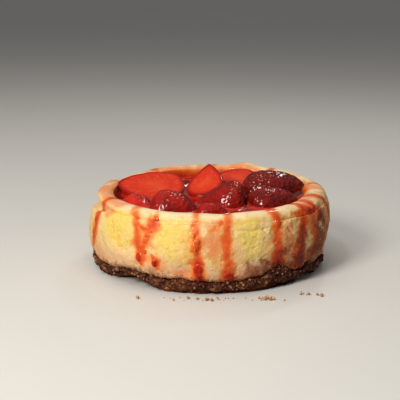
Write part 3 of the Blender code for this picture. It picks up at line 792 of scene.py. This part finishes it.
def grain_tree(name, unevenness):
    """A tree that sets a small uneven body on each vertex, sized and turned as the vertex says, as one plain mesh."""
    tree = bpy.data.node_groups.new(name, "GeometryNodeTree")
    for label, kind in (("Geometry", "Geometry"), ("Grain Size", "Float"), ("Seed", "Int"), ("Finish", "Material")):
        tree.interface.new_socket(label, in_out="INPUT", socket_type="NodeSocket" + kind)
    tree.interface.new_socket("Geometry", in_out="OUTPUT", socket_type="NodeSocketGeometry")
    given = tree.nodes.new("NodeGroupInput")
    points, size, seed, finish = (Link(given.outputs[index]) for index in range(4))
    ball = points.node("GeometryNodeMeshUVSphere", {}, {"Radius": 0.5, "Segments": 6, "Rings": 4})
    spot = ball.node("GeometryNodeInputPosition", {}, {})
    rough = spot.node("ShaderNodeTexNoise", {"noise_dimensions": "4D"}, {"Vector": spot, "W": seed, "Scale": 2.3}, 1)
    offset = rough.node("ShaderNodeVectorMath", {"operation": "SUBTRACT"}, {0: rough, 1: (0.5, 0.5, 0.5)})
    offset = offset.node("ShaderNodeVectorMath", {"operation": "SCALE"}, {0: offset, "Scale": unevenness})
    ball = ball.node("GeometryNodeSetPosition", {}, {"Geometry": ball, "Offset": offset})
    up, long, shape = (
        ball.node("GeometryNodeInputNamedAttribute", {"data_type": "FLOAT_VECTOR"}, {"Name": label})
        for label in ("up", "long", "shape")
    )
    turn = up.node("FunctionNodeAxesToRotation", {"primary_axis": "Z", "secondary_axis": "X"}, {0: up, 1: long})
    scale = shape.node("ShaderNodeVectorMath", {"operation": "SCALE"}, {0: shape, "Scale": size})
    set_out = points.node(
        "GeometryNodeInstanceOnPoints", {}, {"Points": points, "Instance": ball, "Rotation": turn, "Scale": scale}
    )
    solid = set_out.node("GeometryNodeRealizeInstances", {}, {"Geometry": set_out})
    solid = solid.node("GeometryNodeSetShadeSmooth", {}, {"Geometry": solid})
    solid = solid.node("GeometryNodeSetMaterial", {}, {"Geometry": solid, "Material": finish})
    tree.links.new(solid.socket, tree.nodes.new("NodeGroupOutput").inputs[0])
    return tree


def grains(name, tree, spots, up, long, shape, size, seed, finish, tone=None):
    """A plain mesh of small bodies, one on each spot, with its upward and long directions and its shape."""
    data = bpy.data.meshes.new(name + "_spots")
    data.from_pydata([tuple(spot) for spot in spots], [], [])
    for label, values in (("up", up), ("long", long), ("shape", shape)):
        data.attributes.new(label, "FLOAT_VECTOR", "POINT").data.foreach_set("vector", np.ravel(values))
    tones = np.ones(len(spots)) * 0.5 if tone is None else tone
    data.attributes.new("tone", "FLOAT", "POINT").data.foreach_set("value", tones)
    source = bpy.data.objects.new(name + "_spots", data)
    bpy.context.scene.collection.objects.link(source)
    maker = source.modifiers.new("grains", "NODES")
    maker.node_group = tree
    sockets = {item.name: item.identifier for item in tree.interface.items_tree if item.in_out == "INPUT"}
    maker[sockets["Grain Size"]] = float(size)
    maker[sockets["Seed"]] = seed
    maker[sockets["Finish"]] = finish
    made = bpy.data.meshes.new_from_object(source.evaluated_get(bpy.context.evaluated_depsgraph_get()))
    made.name = name
    piece = bpy.data.objects.new(name, made)
    bpy.context.scene.collection.objects.link(piece)
    bpy.data.objects.remove(source)
    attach(piece, "root")
    return piece


berries = []
seed_places, seed_ups, seed_longs = [], [], []
for index, berry in enumerate(BERRIES):
    piece, places, ups, longs = strawberry(berry, index)
    piece.data.materials.append(berry_material(berry))
    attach(piece, "root")
    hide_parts(berry.name)
    berries.append(piece)
    seed_places.append(places)
    seed_ups.append(ups)
    seed_longs.append(longs)

material, place, feed = new_material("strawberry_seed", coat_weight=1.0, coat_roughness=0.05)
hue = place.grain(5 * MM, 2).step(0.35, 0.65)
feed(base_color=hue.mix((0.36, 0.030, 0.012), (0.50, 0.115, 0.035)), roughness=place.grain(1 * MM) * 0.2 + 0.2)
seed_places = np.concatenate(seed_places)
seed_shapes = np.random.default_rng(61).uniform(0.85, 1.15, (len(seed_places), 3)) * [1.05, 0.7, 0.5]
seed_ups = np.concatenate(seed_ups) + np.random.default_rng(62).normal(0, 0.22, (len(seed_places), 3))
seeds = grains(
    "strawberry_seeds", grain_tree("seeds", 0.1), seed_places, seed_ups,
    np.concatenate(seed_longs), seed_shapes, MM, 3, material,
)

# THE SAUCE IN THE HOLLOW
# Strawberries cooked down with sugar until they run: a clear, deep red pool that fills the gaps between the halves
# and climbs a little where it touches them and the rim.

SAUCE_LEVEL = 31.6 * MM
SAUCE_STEPS = 260
SAUCE_CLIMB = 1.6
NEAR_HALF = 6 * MM

bearings = np.arange(SAUCE_STEPS) * 360 / SAUCE_STEPS
rims = np.array([lip_radius(bearing) - rim_width(bearing) + 0.5 * MM for bearing in bearings])
turns = np.radians(bearings)
shares = np.linspace(0.01, 1, 90)[:, None]
x = shares * rims * np.sin(turns)
y = -shares * rims * np.cos(turns)
corners, faces = [], []
for piece in berries:
    first = len(corners)
    corners += [vertex.co for vertex in piece.data.vertices]
    faces += [[first + corner for corner in polygon.vertices] for polygon in piece.data.polygons]
halves = BVHTree.FromPolygons(corners, faces)
beside = np.full(x.shape, NEAR_HALF)
for row, column in np.ndindex(x.shape):
    found = halves.find_nearest(Vector((x[row, column], y[row, column], SAUCE_LEVEL)), NEAR_HALF)
    beside[row, column] = NEAR_HALF if found[3] is None else found[3]
gap = np.minimum(beside, (1 - shares) * rims)
level_spots = np.stack([x, y, 0 * x], axis=-1)
ripple = 0.25 * lumps(level_spots, 7 * MM, 71) + 0.1 * lumps(level_spots, 3 * MM, 72)
surface = SAUCE_LEVEL + (SAUCE_CLIMB * np.exp(-gap / (SAUCE_CLIMB * MM)) + ripple - 0.2) * MM
top = np.stack([x, y, surface], axis=-1)
low = top[::-1][::12].copy()
low[..., 2] = SAUCE_LEVEL - 4 * MM
low[..., :2] *= 0.995
pool = closed_body("sauce_pool", np.concatenate([top, low]))
tell(pool, "deep", np.concatenate([np.clip(gap / (3 * MM), 0, 1), np.ones(low.shape[:2])]))

material, place, feed = new_material("strawberry_sauce", coat_weight=1.0, coat_roughness=0.04, specular_ior_level=0.3)
deep = place.told("deep") + (place.grain(4 * MM, 3) - 0.5) * 1.2
colour = deep.step(-0.3, 1.0).mix((0.60, 0.028, 0.014), (0.34, 0.007, 0.004))
height = place.grain(5 * MM, 2) + place.grain(1.8 * MM, 2) * 0.3
feed(base_color=colour, roughness=place.grain(3 * MM) * 0.15 + 0.14, normal=height.bump(0.8 * MM))
pool.data.materials.append(material)
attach(pool, "root")
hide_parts("strawberry_sauce")

# THE CRUMBS
# Biscuit crumbs that broke off the base: some cling to its side and to the foot of the cheese, and a few lie loose
# on the table by the front.

OUTSIDE = 80 * MM

material, place, feed = new_material("loose_crumb", specular_ior_level=0.3)
tone = place.told("tone") + (place.grain(0.6 * MM, 2) - 0.5) * 0.4
colour = tone.ramp([(0.1, CRUMB_DARK), (0.45, CRUMB_BROWN), (0.7, CRUMB_TAN), (0.95, (0.66, 0.38, 0.18))])
feed(base_color=colour, roughness=place.grain(1 * MM) * 0.3 + 0.6, normal=place.grain(0.4 * MM, 2).bump(0.2 * MM))
randomly = np.random.default_rng(81)
spots, ups, sizes, tones = [], [], [], []
base_tree = BVHTree.FromPolygons([v.co for v in base.data.vertices], [p.vertices for p in base.data.polygons])
cheese_tree = BVHTree.FromPolygons([v.co for v in cheese.data.vertices], [p.vertices for p in cheese.data.polygons])
for _ in range(2600):
    bearing = randomly.uniform(0, 360)
    height = randomly.uniform(0.4, 1.0) * crust_top(bearing)
    hit = base_tree.ray_cast(around(OUTSIDE, bearing, height), around(-1, bearing, 0))
    if hit[0]:
        spots.append(hit[0])
        ups.append(hit[1])
        sizes.append(0.5 + 1.1 * randomly.random() ** 2.5)
        tones.append(randomly.uniform(0.05, 0.8) ** 1.4)
for _ in range(600):
    bearing = randomly.uniform(0, 360)
    above = abs(randomly.normal(0, 1.5))
    hit = cheese_tree.ray_cast(around(OUTSIDE, bearing, crust_top(bearing) + above * MM), around(-1, bearing, 0))
    if hit[0] and above < 9:
        spots.append(hit[0])
        ups.append(hit[1])
        sizes.append((0.3 + 0.5 * randomly.random() ** 2) * (1 - above / 14))
        tones.append(randomly.uniform(0.3, 0.85))
clusters = [(-2, -63.5, 12, 4.5), (27, -63, 16, 4.0), (8, -61.5, 5, 6), (44, -56, 8, 5), (-22, -61.5, 4, 5)]
for x, y, count, spread in clusters:
    for _ in range(count):
        size = 0.5 + 1.2 * randomly.random() ** 2
        spot = Vector((x + randomly.normal(0, spread), y + randomly.normal(0, 1.1), size * 0.42)) * MM
        if math.hypot(spot.x, spot.y) > 58.5 * MM:
            spots.append(spot)
            ups.append(Vector((0, 0, 1)))
            sizes.append(size)
            tones.append(randomly.uniform(0.7, 1.0))
longs = randomly.normal(0, 1, (len(spots), 3))
shapes = randomly.uniform(0.7, 1.25, (len(spots), 3)) * np.array(sizes)[:, None]
crumbs = grains(
    "biscuit_crumbs", grain_tree("crumbs", 0.5), spots, [tuple(up) for up in ups], longs, shapes, MM, 5, material,
    np.array(tones),
)
for vertex in crumbs.data.vertices:
    vertex.co.z = max(vertex.co.z, 0)

# THE TABLE, THE LIGHT AND THE CAMERA
# A plain pale table, a soft light from the front left with a smaller one above it, a wide one overhead, a small one
# behind, and the photograph's viewpoint.

data = bpy.data.meshes.new("table")
data.from_pydata([(-40, -40, 0), (40, -40, 0), (40, 40, 0), (-40, 40, 0)], [], [(0, 1, 2, 3)])
table = bpy.data.objects.new("table", data)
bpy.context.scene.collection.objects.link(table)
table.location.z = -0.05 * MM
material, place, feed = new_material("table_top", roughness=0.6)
feed(base_color=place.grain(0.4).mix((0.70, 0.69, 0.67), (0.74, 0.73, 0.71)))
data.materials.append(material)
table.visible_glossy = False

world = bpy.data.worlds.new("studio")
bpy.context.scene.world = world
world.use_nodes = True
around_studio = Link(world.node_tree.nodes.new("ShaderNodeTexCoord").outputs["Generated"])
up = around_studio.node("ShaderNodeSeparateXYZ", {}, {"Vector": around_studio})
up = Link(up.socket.node.outputs["Z"])
sky = up.ramp([(0.0, (0.05, 0.05, 0.05)), (0.3, (0.09, 0.09, 0.09)), (1.0, (0.24, 0.235, 0.23))])
world.node_tree.links.new(sky.socket, world.node_tree.nodes["Background"].inputs["Color"])


def soft_light(name, spot, aim, size, power, colour):
    """A square light at a spot, turned towards a point."""
    lamp = bpy.data.lights.new(name, "AREA")
    lamp.size = size
    lamp.energy = power
    lamp.color = colour
    light = bpy.data.objects.new(name, lamp)
    light.location = spot
    light.rotation_euler = (Vector(aim) - Vector(spot)).to_track_quat("-Z", "Y").to_euler()
    bpy.context.scene.collection.objects.link(light)
    return light


warm = (1.0, 0.955, 0.87)
soft_light("key", (-0.36, -0.50, 0.43), (0, 0, 0.02), 0.22, 3.9, warm)
soft_light("high", (-0.22, -0.36, 0.66), (0, 0, 0.02), 0.11, 0.8, warm)
fill = soft_light("top", (-0.1, 0.1, 0.9), (0, 0, 0.03), 1.0, 2.6, (1.0, 0.95, 0.87))
fill.visible_glossy = False
soft_light("glint", (0.16, 0.42, 0.50), (0, 0, 0.03), 0.08, 0.35, (1.0, 0.97, 0.93))

lens = bpy.data.cameras.new("camera")
lens.sensor_width = 36
lens.lens = 84.24
lens.clip_start = 0.01
camera = bpy.data.objects.new("camera", lens)
camera.location = (-0.004, -0.454, 0.136)
camera.rotation_euler = (math.radians(76.9), 0, 0)
bpy.context.scene.collection.objects.link(camera)
bpy.context.scene.camera = camera
bpy.context.scene.view_settings.view_transform = "Standard"
